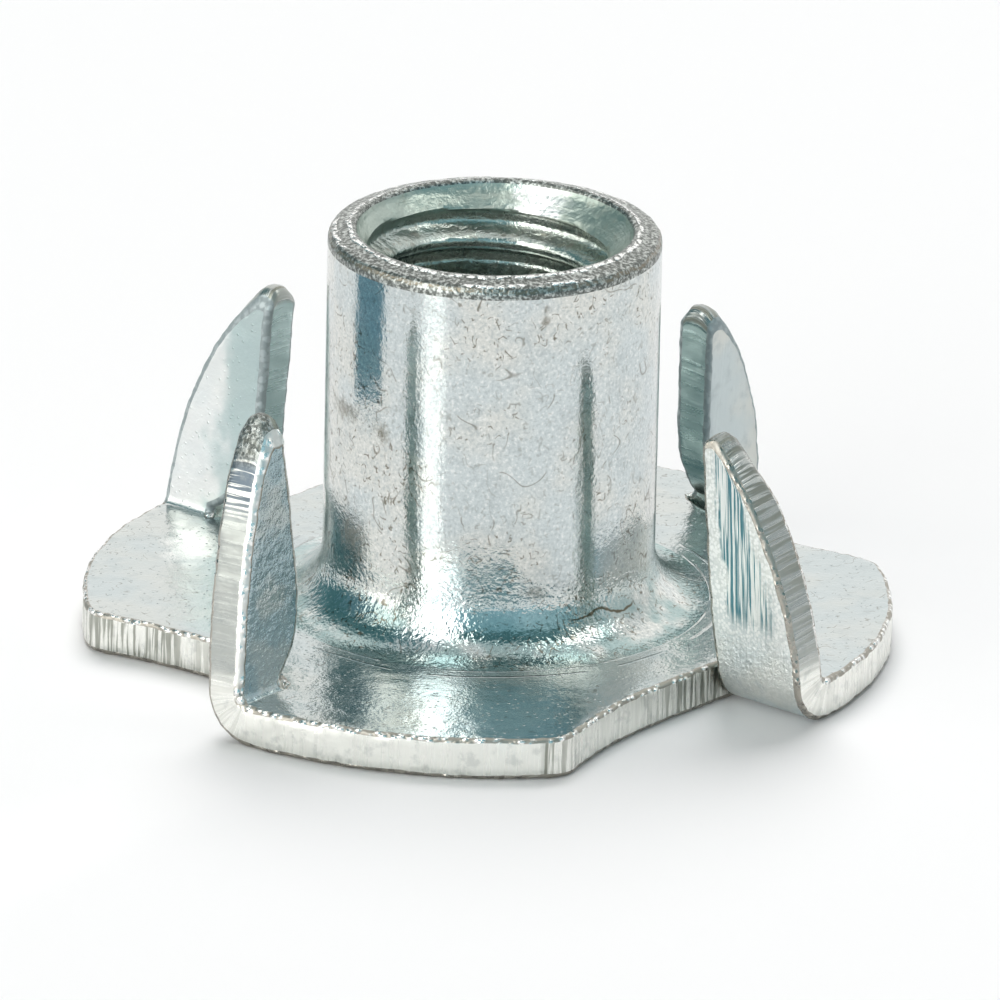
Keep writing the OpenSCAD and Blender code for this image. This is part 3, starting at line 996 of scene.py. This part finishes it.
# ---------------------------------------------------------------- stage

def make_camera():
    """A long lens from the -Y side, a little above, rolled slightly as the photo is.
    Its place is given in metres."""
    elevation, roll = math.radians(20.8), math.radians(1.22)
    distance, aside, up = 0.4102, 0.00031, 0.003066
    forward = Vector((0, math.cos(elevation), -math.sin(elevation)))
    level = Vector((1, 0, 0))
    upright = Vector((0, math.sin(elevation), math.cos(elevation)))
    right = level * math.cos(roll) + upright * math.sin(roll)
    top = upright * math.cos(roll) - level * math.sin(roll)
    data = bpy.data.cameras.new("camera")
    data.lens, data.sensor_width = 629, 36
    data.clip_start, data.clip_end = 0.01, 10
    camera = bpy.data.objects.new("camera", data)
    place = right * aside + top * up - forward * distance
    matrix = Matrix((right, top, -forward)).transposed().to_4x4()
    matrix.translation = place
    camera.matrix_world = matrix
    bpy.context.collection.objects.link(camera)
    bpy.context.scene.camera = camera


def make_floor():
    """A pale sheet. The camera sees it a little brighter than it is, so that it ends in white."""
    mesh = bpy.data.meshes.new("floor")
    half = 0.6
    corners = [(-half, -half, 0), (half, -half, 0), (half, half, 0), (-half, half, 0)]
    mesh.from_pydata(corners, [], [(0, 1, 2, 3)])
    floor = bpy.data.objects.new("floor", mesh)
    bpy.context.collection.objects.link(floor)
    material = bpy.data.materials.new("pale_floor")
    material.use_nodes = True
    n = Nodes(material.node_tree)
    paper = n.tree.nodes["Principled BSDF"]
    n.put(paper.inputs["Base Color"], (*FLOOR, 1))
    n.put(paper.inputs["Roughness"], 0.9)
    lift = n.times(mirrored(n), FLOOR_LIFT)
    glow = n.node("Emission", {"Color": (1, 1, 1, 1), "Strength": lift})
    both = n.node("AddShader", {0: paper.outputs[0], 1: glow.outputs[0]})
    n.put(n.tree.nodes["Material Output"].inputs["Surface"], both.outputs[0])
    mesh.materials.append(material)


def make_card(name, colour, corners):
    """A small card beside the nut, which shows only in the metal."""
    mesh = bpy.data.meshes.new(name)
    mesh.from_pydata([Vector(corner) * MM for corner in corners], [], [(0, 1, 2, 3)])
    card = bpy.data.objects.new(name, mesh)
    bpy.context.collection.objects.link(card)
    material = bpy.data.materials.new(name)
    material.use_nodes = True
    paper = material.node_tree.nodes["Principled BSDF"]
    paper.inputs["Base Color"].default_value = (0, 0, 0, 1)
    paper.inputs["Emission Color"].default_value = (*colour, 1)
    paper.inputs["Emission Strength"].default_value = 1.0
    mesh.materials.append(material)
    card.visible_camera = card.visible_diffuse = card.visible_shadow = False


def make_sun(azimuth, elevation, spread, strength):
    """A broad, far lamp for the floor alone. It stands behind the nut, seen from the camera."""
    data = bpy.data.lights.new("key", "SUN")
    data.energy, data.angle = strength, math.radians(spread)
    sun = bpy.data.objects.new("key", data)
    a, e = math.radians(azimuth), math.radians(elevation)
    place = Vector((math.cos(a) * math.cos(e), math.sin(a) * math.cos(e), math.sin(e)))
    sun.location = place * 0.3
    sun.visible_glossy = False
    sun.rotation_euler = place.to_track_quat("Z", "Y").to_euler()
    bpy.context.collection.objects.link(sun)


def mirrored(n):
    """1 where the camera sees a surface directly, in a gloss or through glass."""
    path = n.node("LightPath").outputs
    seen = n.plus(path["Is Camera Ray"], path["Is Glossy Ray"])
    return n.plus(seen, path["Is Transmission Ray"], clamp=True)


def make_world():
    """A white room whose camera side is dim and teal, with bright windows in it.
    The camera itself sees plain white."""
    world = bpy.data.worlds.new("studio")
    bpy.context.scene.world = world
    world.use_nodes = True
    n = Nodes(world.node_tree)
    x, y, height = n.parts(n.node("TexCoord").outputs["Generated"])
    turn = n.math("ARCTAN2", x, n.times(y, -1.0))
    turn = n.plus(n.math("DIVIDE", turn, math.tau), 0.5)
    belt, upper = (ramp(n, turn, [(0.5 + degrees / 360, colour) for degrees, colour in stops])
                   for stops in (BELT, UPPER))
    rise = n.math("ARCSINE", height)
    room = n.mix(n.span(rise, math.radians(40), math.radians(50)), belt, upper)
    room = n.mix(n.span(rise, math.radians(64), math.radians(76)), room, OVERHEAD)
    seen = n.node("LightPath").outputs["Is Camera Ray"]
    back = n.tree.nodes["Background"]
    n.put(back.inputs["Color"], n.mix(seen, room, WHITE))
    # The floor gets most of its light from the key lamp.
    soft = n.times(n.node("LightPath").outputs["Is Diffuse Ray"], ROOM_DIM)
    n.put(back.inputs["Strength"], n.minus(1.0, soft))


def ramp(n, value, stops):
    made = n.node("ValToRGB", {"Fac": value})
    made.color_ramp.interpolation = "EASE"
    elements = made.color_ramp.elements
    while len(elements) < len(stops):
        elements.new(0.5)
    for element, (place, colour) in zip(elements, stops):
        element.position = place
        element.color = (*colour, 1)
    return made.outputs["Color"]


def main():
    nut = make_tee_nut([face_material(), outer_material(), cut_material(), edge_material(),
                        barrel_material(), rim_material(), bore_material()])
    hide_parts("tee_nut")
    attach(nut, "root")
    make_floor()
    make_card("dark_card", DARK_CARD_COLOUR, DARK_CARD)
    # A painted pool of light on the floor, seen only in the metal.
    make_card("light_pool_card", LIGHT_POOL_COLOUR, LIGHT_POOL_CARD)
    make_world()
    make_sun(azimuth=92, elevation=54, spread=44, strength=2.63)
    make_camera()
    bpy.context.scene.view_settings.view_transform = "Standard"


main()
